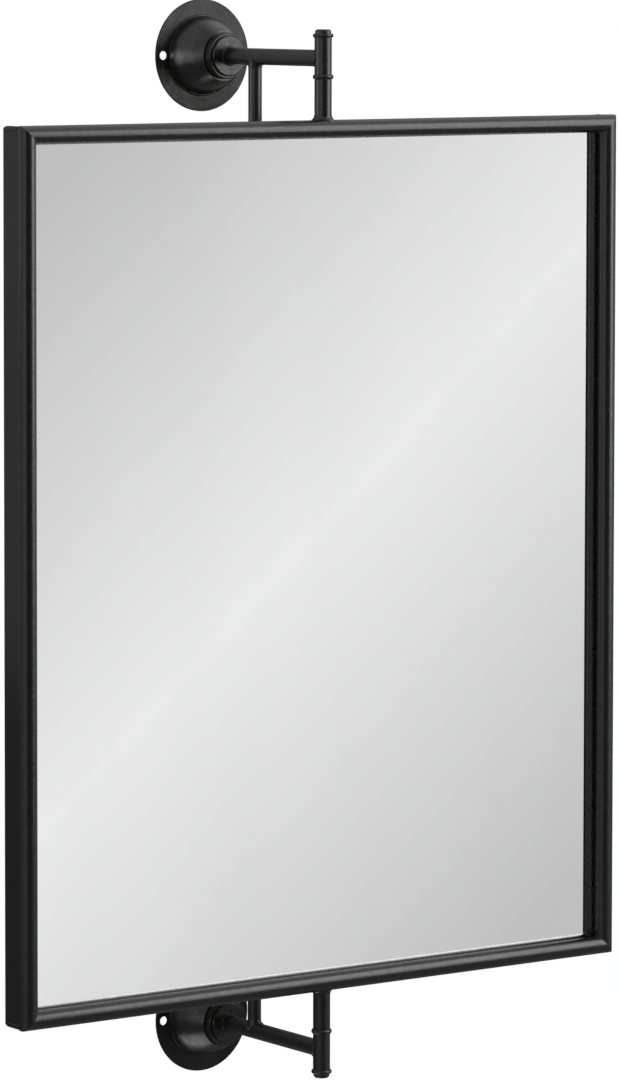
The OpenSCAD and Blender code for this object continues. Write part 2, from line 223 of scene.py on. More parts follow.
class Coat(Shader):
    """The node tree of a new material."""

    def __init__(self, name: str) -> None:
        """Starts the material.

        Args:
            name: Its name.
        """
        self.material = bpy.data.materials.new(name)
        self.material.use_nodes = True
        super().__init__(self.material.node_tree)
        self.surface = self.tree.nodes["Principled BSDF"]

    @cached_property
    def place(self) -> Socket:
        """Object coordinates in metres."""
        return self.node("ShaderNodeTexCoord").outputs["Object"]

    def grain(self, scale: float, detail: float = 2.0, roughness: float = 0.5) -> Socket:
        """Noise that lies over the piece; see Shader.noise."""
        return self.noise(self.place, scale, detail, roughness)

    def set(self, inputs: Inputs) -> None:
        """Sets the Principled surface's inputs; see Shader.feed."""
        self.feed(self.surface, inputs)


@dataclass(frozen=True)
class Finish:
    """A surface finish. Each kind adds its own nodes to a Principled surface."""

    name: str

    def material(self) -> Material:
        """Makes the material of this finish.

        Returns:
            The material, with its nodes.
        """
        coat = Coat(self.name)
        self.dress(coat)
        return coat.material

    def dress(self, coat: Coat) -> None:
        """Sets the surface's sockets and adds its detail.

        Args:
            coat: The material's tree.
        """
        raise NotImplementedError


@dataclass(frozen=True)
class SatinPaint(Finish):
    """Baked satin paint: uneven sheen, slow waves, orange peel and a few dust nibs."""

    dark: Colour = (0.0040, 0.0040, 0.0042)
    light: Colour = (0.0080, 0.0079, 0.0078)
    gloss: Range = (0.24, 0.34)
    reflectance: float = 0.50
    mottle_scale: float = 45.0
    sheen_ratio: float = 3.1
    peel_scale: float = 620.0
    peel_height: float = 0.045 * MM
    wave_scale: float = 75.0
    wave_height: float = 0.22 * MM
    nib_scale: float = 85.0
    nib_size: float = 0.045
    nib_height: float = 0.12 * MM
    nib_patches: float = 0.35
    nib_share: float = 0.56

    def dress(self, coat: Coat) -> None:
        """Sets the paint's colour, sheen and bumps; see Finish.dress."""
        mottle = coat.grain(self.mottle_scale, detail=4.0, roughness=0.6)
        sheen = coat.grain(self.sheen_ratio * self.mottle_scale, detail=3.0, roughness=0.55)
        normal = coat.bump(coat.grain(self.wave_scale, roughness=0.45), self.wave_height)
        normal = coat.bump(coat.grain(self.peel_scale), self.peel_height, normal)
        normal = coat.bump(self.nibs(coat), self.nib_height, normal)
        coat.set({
            "Base Color": coat.mix(mottle, self.dark, self.light),
            "Roughness": coat.spread(sheen, NOISE_CORE, self.gloss),
            "Specular IOR Level": self.reflectance,
            "Normal": self.tooling(coat, normal),
        })

    def nibs(self, coat: Coat) -> Socket:
        """Sparse specks of dust under the paint.

        Args:
            coat: The material's tree.

        Returns:
            Their height, from 0 to 1.
        """
        cells = {"Vector": coat.place, "Scale": self.nib_scale}
        apart = coat.node("ShaderNodeTexVoronoi", cells, feature="F1").outputs["Distance"]
        speck = coat.spread(apart, (0.0, self.nib_size), (1.0, 0.0), smooth=True)
        patches = coat.grain(self.nib_patches * self.nib_scale, detail=1.0)
        keep = coat.math("GREATER_THAN", patches, self.nib_share)
        return coat.math("MULTIPLY", speck, keep)

    def tooling(self, coat: Coat, normal: Socket) -> Socket:
        """The normal with the tool marks that show through the paint; plain paint has none."""
        return normal


@dataclass(frozen=True)
class SpunPaint(SatinPaint):
    """Satin paint over spun and turned metal, whose rings show round the arm's axis."""

    axis_height: float = 0.0
    rim_radius: float = 35.5 * MM
    rim_fade: float = 0.5 * MM
    flange_reflectance: float = 0.20
    dome_reflectance: float = 0.55
    ring_scale: float = 900.0
    ring_height: float = 0.05 * MM
    smudge_turns: float = 2.6
    smudge_rings: float = 330.0
    smudge: Range = (0.72, 1.28)
    spread_ratio: float = 0.3
    quarter_turn: float = 0.25

    def dress(self, coat: Coat) -> None:
        """Sets the paint, then smudges and a sheen stretched round the axis; see Finish.dress."""
        super().dress(coat)
        radius, around = self.polar(coat)
        along = coat.node("ShaderNodeSeparateXYZ", {0: coat.place}).outputs["Y"]
        depth = coat.math("MULTIPLY", coat.math("SUBTRACT", radius, along), self.smudge_rings)
        turned = coat.scaled(around, self.smudge_turns)
        lifted = coat.out("ShaderNodeCombineXYZ", {2: depth})
        at = coat.vector_math("ADD", turned, lifted).outputs[0]
        smudges = coat.noise(at, 1.0, detail=4.0, roughness=0.6)
        smudges = coat.spread(smudges, NOISE_CORE, self.smudge)
        rim = (self.rim_radius, self.rim_radius + self.rim_fade)
        level = coat.spread(radius, rim, (self.dome_reflectance, self.flange_reflectance))
        parts = coat.node("ShaderNodeSeparateXYZ", {0: around}).outputs
        flipped = coat.math("MULTIPLY", parts["Y"], -1.0)
        coat.set({
            "Specular IOR Level": coat.math("MULTIPLY", level, smudges),
            "Tangent": coat.out("ShaderNodeCombineXYZ", {0: flipped, 2: parts["X"]}),
            "Anisotropic": self.spread_ratio,
            "Anisotropic Rotation": self.quarter_turn,
        })

    def polar(self, coat: Coat) -> tuple[Socket, Socket]:
        """Where a point lies round the arm's axis, alike for the upper and the lower arm.

        Args:
            coat: The material's tree.

        Returns:
            The distance from the axis, and the direction from it as X, Z and 0.
        """
        parts = coat.node("ShaderNodeSeparateXYZ", {0: coat.place}).outputs
        height = coat.math("SUBTRACT", coat.math("ABSOLUTE", parts["Z"]), self.axis_height)
        flat = coat.out("ShaderNodeCombineXYZ", {0: parts["X"], 1: height})
        around = coat.vector_math("NORMALIZE", flat).outputs["Vector"]
        return coat.vector_math("LENGTH", flat).outputs["Value"], around

    def tooling(self, coat: Coat, normal: Socket) -> Socket:
        """The normal with rings about the arm's axis; see SatinPaint.tooling."""
        radius, _ = self.polar(coat)
        inputs = {"W": radius, "Scale": self.ring_scale, "Detail": 3.0, "Roughness": 0.7}
        rings = coat.node("ShaderNodeTexNoise", inputs, noise_dimensions="1D")
        return coat.bump(rings.outputs["Fac"], self.ring_height, normal)


@dataclass(frozen=True)
class SilveredGlass(Finish):
    """Mirror glass: a clear reflection with the faintest wipe marks."""

    clean: Colour = (0.900, 0.904, 0.902)
    wiped: Colour = (0.882, 0.886, 0.884)
    wipe_scale: float = 9.0
    wipe_stretch: float = 0.22
    wipe_core: Range = (0.40, 0.75)

    def dress(self, coat: Coat) -> None:
        """Sets the silvering and its wipe marks; see Finish.dress."""
        along = (1.0, 1.0, self.wipe_stretch)
        stretched = coat.out("ShaderNodeMapping", {"Vector": coat.place, "Scale": along})
        wipes = coat.noise(stretched, self.wipe_scale, detail=5.0, roughness=0.62)
        haze = coat.spread(wipes, self.wipe_core, (0.0, 1.0))
        base = coat.mix(haze, self.clean, self.wiped)
        coat.set({"Base Color": base, "Metallic": 1.0, "Roughness": 0.0})


@dataclass(frozen=True)
class PressedBoard(Finish):
    """Raw pressed fibreboard: long fibres, darker flecks and a slight nap."""

    pale: Colour = (0.300, 0.200, 0.118)
    dark: Colour = (0.150, 0.092, 0.050)
    gloss: Range = (0.62, 0.85)
    fibre_scale: float = 260.0
    fibre_stretch: float = 0.35
    fleck_scale: float = 900.0
    cloud_scale: float = 7.0
    fibre_share: float = 0.75
    fleck_share: float = 0.35
    cloud_share: float = 0.35
    tone_drop: float = 0.2
    nap_height: float = 0.12 * MM

    def dress(self, coat: Coat) -> None:
        """Sets the board's fibres and nap; see Finish.dress."""
        along = (1.0, 1.0, self.fibre_stretch)
        stretched = coat.out("ShaderNodeMapping", {"Vector": coat.place, "Scale": along})
        fibres = coat.noise(stretched, self.fibre_scale, detail=6.0, roughness=0.68)
        flecks = coat.grain(self.fleck_scale)
        clouds = coat.grain(self.cloud_scale, detail=3.0)
        tone = coat.math("MULTIPLY", fibres, self.fibre_share)
        tone = coat.math("MULTIPLY_ADD", flecks, self.fleck_share, tone)
        tone = coat.math("SUBTRACT", tone, self.tone_drop)
        tone = coat.math("MULTIPLY_ADD", clouds, self.cloud_share, tone, clamp=True)
        coat.set({
            "Base Color": coat.mix(tone, self.dark, self.pale),
            "Roughness": coat.spread(fibres, NOISE_CORE, self.gloss),
            "Normal": coat.bump(fibres, self.nap_height),
        })


@dataclass(frozen=True)
class ZincPlate(Finish):
    """Bright zinc plating with faint rainbow patches and fine scuffs."""

    cool: Colour = (0.60, 0.62, 0.66)
    warm: Colour = (0.68, 0.64, 0.54)
    gloss: Range = (0.24, 0.40)
    patch_scale: float = 420.0
    scuff_scale: float = 2600.0
    scuff_height: float = 0.01 * MM

    def dress(self, coat: Coat) -> None:
        """Sets the plating's tints and scuffs; see Finish.dress."""
        scuffs = coat.grain(self.scuff_scale, detail=3.0, roughness=0.7)
        coat.set({
            "Base Color": coat.mix(coat.grain(self.patch_scale), self.cool, self.warm),
            "Metallic": 1.0,
            "Roughness": coat.spread(scuffs, NOISE_CORE, self.gloss),
            "Normal": coat.bump(scuffs, self.scuff_height),
        })


@dataclass(frozen=True)
class MouldedNylon(Finish):
    """Off-white moulded nylon with a fine spark-eroded texture."""

    pale: Colour = (0.72, 0.69, 0.60)
    dark: Colour = (0.62, 0.59, 0.50)
    gloss: Range = (0.38, 0.52)
    cloud_scale: float = 300.0
    grain_scale: float = 3000.0
    grain_height: float = 0.02 * MM

    def dress(self, coat: Coat) -> None:
        """Sets the nylon's colour and texture; see Finish.dress."""
        grain = coat.grain(self.grain_scale)
        coat.set({
            "Base Color": coat.mix(coat.grain(self.cloud_scale), self.dark, self.pale),
            "Roughness": coat.spread(grain, NOISE_CORE, self.gloss),
            "Normal": coat.bump(grain, self.grain_height),
        })


class Palette:
    """Every material of the mirror, made once."""

    def __init__(self, axis_height: float) -> None:
        """Makes the materials.

        Args:
            axis_height: Height of the upper arm's axis, which the rings of the spun paint go round.
        """
        spun = SpunPaint("SpunPaint", gloss=(0.22, 0.32), axis_height=axis_height)
        weld = SatinPaint("WeldPaint", gloss=(0.26, 0.36), peel_scale=1500.0, peel_height=0.10 * MM)
        self.axis_height = axis_height
        self.frame_paint = SatinPaint("FramePaint").material()
        self.bracket_paint = SatinPaint("BracketPaint", gloss=(0.27, 0.37), mottle_scale=70.0).material()
        self.spun_paint = spun.material()
        self.turned_paint = replace(spun, name="TurnedPaint", dome_reflectance=0.36).material()
        self.weld_paint = weld.material()
        self.glass = SilveredGlass("SilveredGlass").material()
        self.board = PressedBoard("PressedBoard").material()
        self.zinc = ZincPlate("ZincPlate").material()
        self.nylon = MouldedNylon("MouldedNylon").material()


def dress_nodes(material: Material, *nodes: str) -> None:
    """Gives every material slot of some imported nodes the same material.

    Args:
        material: Their finish.
        *nodes: The nodes' names.
    """
    for node in nodes:
        for place in bpy.data.objects[node].material_slots:
            place.material = material
        LOG.info("dressed %s in %s", node, material.name)


# ---- geometry node helpers ----


class Growth(Shader):
    """A geometry node tree with named inputs, which turns a seed mesh into finished geometry."""

    def __init__(self, name: str) -> None:
        """Starts a tree with one geometry input and one geometry output.

        Args:
            name: The tree's name.
        """
        super().__init__(bpy.data.node_groups.new(name, "GeometryNodeTree"))
        for way in ("INPUT", "OUTPUT"):
            self.tree.interface.new_socket("Geometry", in_out=way, socket_type="NodeSocketGeometry")
        self.keys: dict[str, str] = {}
        self.given = self.tree.nodes.new("NodeGroupInput")
        self.result = self.tree.nodes.new("NodeGroupOutput")

    def add_input(self, name: str, kind: str) -> Socket:
        """Adds a named input.

        Args:
            name: The input's name.
            kind: The last part of its socket type, such as Float.

        Returns:
            The socket that gives its value inside the tree.
        """
        made = self.tree.interface.new_socket(name, in_out="INPUT", socket_type="NodeSocket" + kind)
        self.keys[name] = made.identifier
        return self.given.outputs[name]

    def close(self, geometry: Socket, material: Socket) -> None:
        """Ends the tree in Realize Instances and Set Material.

        Args:
            geometry: What the tree made.
            material: The input that holds its material.
        """
        real = self.out("GeometryNodeRealizeInstances", {0: geometry})
        painted = self.out("GeometryNodeSetMaterial", {"Geometry": real, "Material": material})
        self.feed(self.result, {0: painted})

    def grow(self, piece: Piece, values: dict[str, object]) -> None:
        """Runs the tree on a piece and leaves the result as the piece's own plain mesh.

        Args:
            piece: An object whose mesh is the seed.
            values: The named inputs.
        """
        modifier = piece.modifiers.new(self.tree.name, "NODES")
        modifier.node_group = self.tree
        for name, value in values.items():
            modifier[self.keys[name]] = value
        freeze(piece)


def freeze(piece: Piece) -> None:
    """Turns what a piece's modifiers make into its own plain mesh, and removes them.

    Args:
        piece: The object.
    """
    graph = bpy.context.evaluated_depsgraph_get()
    made = bpy.data.meshes.new_from_object(piece.evaluated_get(graph), depsgraph=graph)
    piece.modifiers.clear()
    piece.data = made


def new_object(name: str, data: bpy.types.ID) -> Piece:
    """Links a mesh, a lamp or a camera to the scene as an object at the origin.

    Args:
        name: The object's name.
        data: What it shows.

    Returns:
        The object.
    """
    piece = bpy.data.objects.new(name, data)
    bpy.context.scene.collection.objects.link(piece)
    return piece


@dataclass(frozen=True)
class Seam:
    """The line that a weld follows, with the bead's relative size at each point."""

    points: Path
    closed: bool
    sizes: tuple[float, ...] = ()


def seam_object(name: str, seams: Sequence[Seam]) -> Piece:
    """Makes the edges that weld beads are grown on.

    Args:
        name: The object's name.
        seams: The lines, each with its sizes.

    Returns:
        An object of loose edges with a float attribute named bead.
    """
    points: Path = []
    edges: list[tuple[int, int]] = []
    sizes: list[float] = []
    for seam in seams:
        first = len(points)
        count = len(seam.points)
        points.extend(seam.points)
        sizes.extend(seam.sizes or (1.0,) * count)
        edges.extend((first + i, first + i + 1) for i in range(count - 1))
        if seam.closed:
            edges.append((first + count - 1, first))
    mesh = bpy.data.meshes.new(name)
    mesh.from_pydata(points, edges, [])
    mesh.attributes.new("bead", "FLOAT", "POINT").data.foreach_set("value", sizes)
    return new_object(name, mesh)


class WeldBeads:
    """Grows rippled weld beads along seams."""

    SIDES = 12
    RIPPLE_STEPS = 5.0
    PITCH_RATIO = 1.1  # a ripple's length for 1 of the bead's radius
    LUMP_SCALE = 700.0
    NAMES = ("Radius", "Ripple Pitch", "Ripple Depth", "Roughness", "Seed")

    def __init__(self) -> None:
        """Builds the tree: resampled seam, rippled radius, round section and a rough skin."""
        growth = Growth("Weld bead")
        radius, pitch, depth, rough, seed = (growth.add_input(name, "Float") for name in self.NAMES)
        material = growth.add_input("Material", "Material")
        line = growth.out("GeometryNodeMeshToCurve", {"Mesh": growth.given.outputs[0]})
        inputs = {"Curve": line, "Length": growth.math("DIVIDE", pitch, self.RIPPLE_STEPS)}
        line = growth.out("GeometryNodeResampleCurve", inputs, mode="LENGTH")
        along = growth.node("GeometryNodeSplineParameter").outputs["Length"]
        phase = growth.math("FRACT", growth.math("DIVIDE", along, pitch))
        fall = growth.math("MULTIPLY", depth, growth.math("POWER", phase, 2.0))
        ripple = growth.math("SUBTRACT", 1.0, fall)
        size = growth.out("GeometryNodeInputNamedAttribute", {"Name": "bead"}, data_type="FLOAT")
        scale = growth.math("MULTIPLY", ripple, size)
        inputs = {"Resolution": self.SIDES, "Radius": radius}
        section = growth.out("GeometryNodeCurvePrimitiveCircle", inputs, mode="RADIUS")
        inputs = {"Curve": line, "Profile Curve": section, "Scale": scale, "Fill Caps": True}
        bead = growth.out("GeometryNodeCurveToMesh", inputs)
        place = growth.out("GeometryNodeInputPosition")
        inputs = {"Vector": place, "W": seed, "Scale": self.LUMP_SCALE, "Detail": 2.0}
        lump = growth.node("ShaderNodeTexNoise", inputs, noise_dimensions="4D").outputs["Fac"]
        push = growth.math("MULTIPLY", growth.math("SUBTRACT", lump, 0.5), rough)
        offset = growth.scaled(growth.out("GeometryNodeInputNormal"), push)
        moved = growth.out("GeometryNodeSetPosition", {"Geometry": bead, "Offset": offset})
        smooth = growth.out("GeometryNodeSetShadeSmooth", {"Geometry": moved})
        growth.close(smooth, material)
        self.growth = growth

    def lay(
        self,
        name: str,
        body: Body,
        seams: Sequence[Seam],
        radius: float,
        material: Material,
        ripple: float,
        roughness: float = 0.35,
        seed: float = 0.0,
    ) -> None:
        """Lays beads along seams as one piece.

        Args:
            name: The piece's name.
            body: The body that it rides on.
            seams: Where the beads run.
            radius: The bead's radius.
            material: Its material.
            ripple: Share of the radius that each ripple falls by.
            roughness: Share of the radius that the lumps span.
            seed: Changes the lumps.
        """
        piece = seam_object(name, seams)
        values = (radius, self.PITCH_RATIO * radius, ripple, roughness * radius, seed)
        self.growth.grow(piece, dict(zip(self.NAMES, values)) | {"Material": material})
        hand_over(piece, body, Slot.FRAME_PAINT if body is Body.MIRROR else Slot.BRACKET_PAINT)


def hand_over(piece: Piece, body: Body, slot: Slot, *nodes: str) -> None:
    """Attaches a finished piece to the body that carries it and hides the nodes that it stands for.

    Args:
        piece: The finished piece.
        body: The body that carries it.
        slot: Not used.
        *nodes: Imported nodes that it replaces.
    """
    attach(piece, body.value)
    if nodes:
        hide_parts(*nodes)
    LOG.info("made %s on %s: %d faces", piece.name, body.value, len(piece.data.polygons))


# ---- sub-assemblies ----


def middle(node: str) -> Vector:
    """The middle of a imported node's box."""
    low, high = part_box(node)
    return (low + high) / 2


def extent(node: str) -> Vector:
    """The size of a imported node's box."""
    low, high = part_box(node)
    return high - low


@dataclass
class MirrorFrame:
    """The black frame: four mitred tubes, the flat bands behind them and the corner welds."""

    palette: Palette
    welds: WeldBeads
    bead_radius: float = 1.25 * MM
    ground_size: float = 0.35
    bead_sink: float = 0.55 * MM
    band_bead: float = 2.6 * MM
    band_sink: float = 1.75 * MM
    band_steps: int = 12
    band_taper: tuple[float, ...] = (0.93, 0.98)
    inner_from: float = 0.8
    inner_sink: float = 0.6
    steps: int = 40

    def build(self) -> None:
        """Dresses the frame's nodes and lays its corner welds."""
        for side in ("top_rail", "bottom_rail", "left_stile", "right_stile"):
            dress_nodes(self.palette.frame_paint, side + "_tube", side + "_band")
        lay, body, paint = self.welds.lay, Body.MIRROR, self.palette.frame_paint
        corners = [(x, z) for x in (-1, 1) for z in (-1, 1)]
        seams = [self.mitre_seam(*corner) for corner in corners]
        lay("corner_welds", body, seams, self.bead_radius, self.palette.weld_paint, ripple=0.1)
        seams = [self.band_seam(*corner) for corner in corners]
        lay("band_welds", body, seams, self.band_bead, paint, ripple=0.04, roughness=0.12, seed=5.0)

    def band_seam(self, side_x: int, side_z: int) -> Seam:
        """The corner of the bands, filled and ground round from the tubes to the back edge.

        Args:
            side_x: -1 for the left corners, 1 for the right ones.
            side_z: -1 for the lower corners, 1 for the upper ones.

        Returns:
            The seam along the corner, thinner at its ends.
        """
        low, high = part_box("top_rail_band")
        x = side_x * (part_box("right_stile_band")[1].x - self.band_sink)
        z = side_z * (high.z - self.band_sink)
        depth = high.y - self.band_bead - low.y
        count = self.band_steps + 1
        points = [Vector((x, low.y + depth * i / self.band_steps, z)) for i in range(count)]
        full = (1.0,) * (count - 2 * len(self.band_taper))
        return Seam(points, False, self.band_taper + full + self.band_taper[::-1])

    def mitre_seam(self, side_x: int, side_z: int) -> Seam:
        """The mitre between two tubes at a corner, ground thin outside and full inside.

        Args:
            side_x: -1 for the left corners, 1 for the right ones.
            side_z: -1 for the lower corners, 1 for the upper ones.

        Returns:
            The seam round the mitre's ellipse.
        """
        tube_r = extent("top_rail_tube").y / 2
        half_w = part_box("right_stile_tube")[1].x
        half_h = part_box("top_rail_tube")[1].z
        rounding = half_w - extent("top_rail_tube").x / 2
        x, z = side_x * (half_w - tube_r), side_z * (half_h - tube_r)
        corner = Vector((x, middle("top_rail_tube").y, z))
        inward = Vector((-side_x, 0.0, -side_z))
        points: Path = []
        sizes: list[float] = []
        for i in range(self.steps):
            turn = 2 * math.pi * i / self.steps
            inside = (1 + math.sin(turn)) / 2
            reach = tube_r - self.bead_sink * (1.0 if inside < self.inner_from else self.inner_sink)
            across = max(reach * math.sin(turn), self.bead_sink + rounding - tube_r)
            points.append(corner + across * inward - Vector((0, reach * math.cos(turn), 0)))
            sizes.append(self.ground_size + (1 - self.ground_size) * inside**3)
        return Seam(points, True, tuple(sizes))


@dataclass
class GlassAndBack:
    """The silvered glass, the board behind it, its clips and their screws.

    The screws' neck and root are shares of the shank's radius, and the crown is the flat and the
    curved share of the head's.
    """

    palette: Palette
    head_r: float = 3.5 * MM
    head_h: float = 2.2 * MM
    head_edge: float = 0.1 * MM
    crown: Range = (0.45, 0.55)
    crown_steps: int = 6
    shank_r: float = 1.75 * MM
    neck: float = 0.9
    root: float = 0.78
    tip_h: float = 0.6 * MM
    bevel_h: float = 0.35 * MM
    recess_width: float = 1.1 * MM
    recess_span: float = 3.9 * MM
    recess_depth: float = 1.3 * MM
    thread_pitch: float = 1.3 * MM
    segments: int = 40
    crease: float = 35.0

    def build(self) -> None:
        """Dresses the nodes and makes the clip screws."""
        dress_nodes(self.palette.glass, "mirror_glass")
        dress_nodes(self.palette.board, "backing_board")
        dress_nodes(self.palette.frame_paint, "board_clips")
        self.screws()

    def screws(self) -> None:
        """Eight pan head screws with a cross recess, in place of the plain ones."""
        low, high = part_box("clip_screws")
        pattern = self.screw_pattern(high.y - low.y)
        seeds = bpy.data.meshes.new("clip_screw_points")
        seeds.from_pydata([(p.x, low.y, p.z) for p in island_middles("clip_screws")], [], [])
        piece = new_object("clip_screws_detailed", seeds)
        screw_growth().grow(piece, {"Screw": pattern, "Seed": 4, "Material": self.palette.zinc})
        bpy.data.objects.remove(pattern)
        hand_over(piece, Body.MIRROR, Slot.ZINC_STEEL, "clip_screws")

    def screw_pattern(self, length: float) -> Piece:
        """One screw from its tip at the origin to its head along +Y.

        Args:
            length: Overall length.

        Returns:
            A loose object that holds the screw's mesh.
        """
        root = self.root * self.shank_r
        under = length - self.head_h
        outline = [(0.0, 0.0), (0.5 * self.shank_r, self.bevel_h)]
        for i in range(int((under - 2 * self.tip_h) / self.thread_pitch)):
            base = self.tip_h + i * self.thread_pitch
            crest, end = base + 0.4 * self.thread_pitch, base + 0.8 * self.thread_pitch
            outline += [(root, base), (self.shank_r, crest), (root, end)]
        outline += [(self.neck * self.shank_r, under), (self.head_r - self.head_edge, under)]
        outline.append((self.head_r, under + self.bevel_h))
        flat, curved = (share * self.head_r for share in self.crown)
        for i in range(1, self.crown_steps + 1):
            angle = math.pi / 2 * i / self.crown_steps
            top = under + 0.5 * self.head_h + 0.5 * self.head_h * math.sin(angle)
            outline.append((flat + curved * math.cos(angle), top))
        outline.append((0.0, length))
        screw = new_object("screw_pattern", lathe("screw_pattern", outline, self.segments))
        for turned in (False, True):
            cutter = self.recess_blade(length, turned)
            cut = screw.modifiers.new("recess", "BOOLEAN")
            cut.operation = "DIFFERENCE"
            cut.solver = "EXACT"
            cut.object = cutter
            freeze(screw)
            bpy.data.objects.remove(cutter)
        for face in screw.data.polygons:
            face.use_smooth = True
        screw.data.set_sharp_from_angle(angle=math.radians(self.crease))
        return screw

    def recess_blade(self, top: float, turned: bool) -> Piece:
        """One tapered blade of the cross recess.

        Args:
            top: Height of the screw's head.
            turned: Whether the blade runs along Z instead of X.

        Returns:
            The blade as an object.
        """
        deep = (top - self.recess_depth, self.recess_span / 4)
        over = (top + 1 * MM, self.recess_span / 2)
        corners = [
            Vector((sx * span, y, sz * self.recess_width / 2))
            for y, span in (deep, over)
            for sx, sz in ((-1, -1), (1, -1), (1, 1), (-1, 1))
        ]
        if turned:
            corners = [Vector((c.z, c.y, c.x)) for c in corners]
        faces = [(0, 1, 2, 3), (7, 6, 5, 4), (0, 4, 5, 1), (1, 5, 6, 2), (2, 6, 7, 3), (3, 7, 4, 0)]
        return new_object("recess_blade", closed_mesh("recess_blade", corners, faces))


def screw_growth() -> Growth:
    """A tree that sets one screw on each point, each turned by its own angle.

    Returns:
        The tree, with inputs Screw, Seed and Material.
    """
    growth = Growth("Screws on points")
    pattern = growth.add_input("Screw", "Object")
    seed = growth.add_input("Seed", "Int")
    material = growth.add_input("Material", "Material")
    highest = 3  # the place of the float maximum, one of several inputs named Max
    inputs = {"Seed": seed, highest: math.pi}
    angle = growth.node("FunctionNodeRandomValue", inputs, data_type="FLOAT").outputs["Value"]
    inputs = {
        "Points": growth.given.outputs[0],
        "Instance": growth.node("GeometryNodeObjectInfo", {"Object": pattern}).outputs["Geometry"],
        "Rotation": growth.out("ShaderNodeCombineXYZ", {1: angle}),
    }
    growth.close(growth.out("GeometryNodeInstanceOnPoints", inputs), material)
    return growth


def closed_mesh(name: str, points: Iterable[Vector], faces: Iterable[Sequence[int]]) -> Mesh:
    """Makes a mesh from points and faces.

    Args:
        name: The mesh's name.
        points: Its vertices.
        faces: Their numbers round each face.

    Returns:
        The mesh, with its faces outwards.
    """
    mesh = bpy.data.meshes.new(name)
    mesh.from_pydata(list(points), [], list(faces))
    shell = bmesh.new()
    shell.from_mesh(mesh)
    bmesh.ops.remove_doubles(shell, verts=shell.verts, dist=SAME_PLACE)
    bmesh.ops.recalc_face_normals(shell, faces=shell.faces)
    shell.to_mesh(mesh)
    shell.free()
    return mesh


def lathe(name: str, outline: Sequence[Range], segments: int) -> Mesh:
    """Turns an outline about the Y axis into a closed mesh.

    Args:
        name: The mesh's name.
        outline: Radius and height pairs, from one end on the axis to the other.
        segments: Faces round the axis.

    Returns:
        The mesh, with its faces outwards.
    """
    points: Path = []
    faces: list[tuple[int, ...]] = []
    for i in range(segments):
        angle = 2 * math.pi * i / segments
        points.extend(Vector((r * math.cos(angle), y, r * math.sin(angle))) for r, y in outline)
    rows = len(outline)
    for i in range(segments):
        here, there = i * rows, (i + 1) % segments * rows
        faces.extend((here + j, here + j + 1, there + j + 1, there + j) for j in range(rows - 1))
    return closed_mesh(name, points, faces)


def island_middles(node: str) -> list[Vector]:
    """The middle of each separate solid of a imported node.

    Args:
        node: The node's name.

    Returns:
        One point for each solid, in a fixed order.
    """
    shell = bmesh.new()
    shell.from_mesh(bpy.data.objects[node].data)
    bmesh.ops.remove_doubles(shell, verts=shell.verts, dist=SAME_PLACE)
    left = set(shell.verts)
    found: list[Vector] = []
    while left:
        stack = [left.pop()]
        island = []
        while stack:
            vertex = stack.pop()
            island.append(vertex.co.copy())
            near = {e.other_vert(vertex) for e in vertex.link_edges} & left
            left -= near
            stack.extend(near)
        low = Vector(map(min, zip(*island)))
        high = Vector(map(max, zip(*island)))
        found.append((low + high) / 2)
    shell.free()
    return sorted(found, key=lambda p: (round(p.z, 4), round(p.x, 4)))


@dataclass
class Pivot:
    """One end of the pivot line: post, ring, barrel, cap and what turns inside them."""

    palette: Palette
    end: End

    def build(self) -> None:
        """Dresses this end's nodes."""
        prefix = self.end.prefix
        outside = (prefix + part for part in ("joint_ring", "barrel", "end_ring", "cap"))
        dress_nodes(self.palette.frame_paint, prefix + "post")
        dress_nodes(self.palette.bracket_paint, *outside)
        dress_nodes(self.palette.zinc, prefix + "pivot_pin")
        dress_nodes(self.palette.nylon, prefix + "bush")


